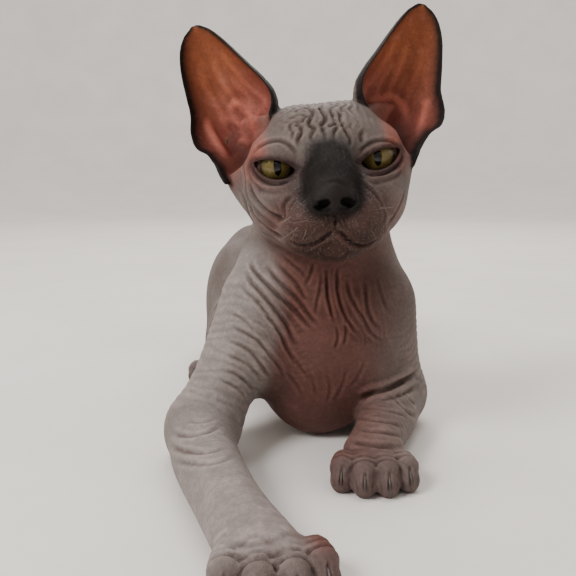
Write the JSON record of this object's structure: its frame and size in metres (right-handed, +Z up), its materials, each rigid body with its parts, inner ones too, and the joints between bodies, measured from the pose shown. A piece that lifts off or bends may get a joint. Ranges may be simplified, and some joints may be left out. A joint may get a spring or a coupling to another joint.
{
  "type": "sphynx cat",
  "caption": "Hairless young cat lying on its chest with its head up, large upright ears, one foreleg stretched forward and the tail curled along its side.",
  "frame": {"origin": "on the floor, below the middle of the whole animal's bounding box", "axes": "+X to the cat's left, -Y the way it faces, +Y towards its tail, +Z up"},
  "size_m": [0.143, 0.4084, 0.2083],
  "materials": {
    "skin": "soft matte bare skin with a faint sheen, grey-taupe",
    "ear_skin": "thin warm brown skin, darker at the rim",
    "eye": "wet and glossy, olive iris with an upright slit pupil"
  },
  "bodies": {
    "root": {"head": "skin", "ear_right": "ear_skin", "ear_left": "ear_skin", "eye_right": "eye", "eye_left": "eye", "neck": "skin", "torso": "skin", "upper_arm_right": "skin", "upper_arm_left": "skin", "forearm_right": "skin", "forearm_left": "skin", "forepaw_right": "skin", "forepaw_left": "skin", "thigh_right": "skin", "thigh_left": "skin", "hind_foot_right": "skin", "hind_foot_left": "skin", "tail_base": "skin", "tail_middle": "skin", "tail_tip": "skin"}
  },
  "joints": []
}
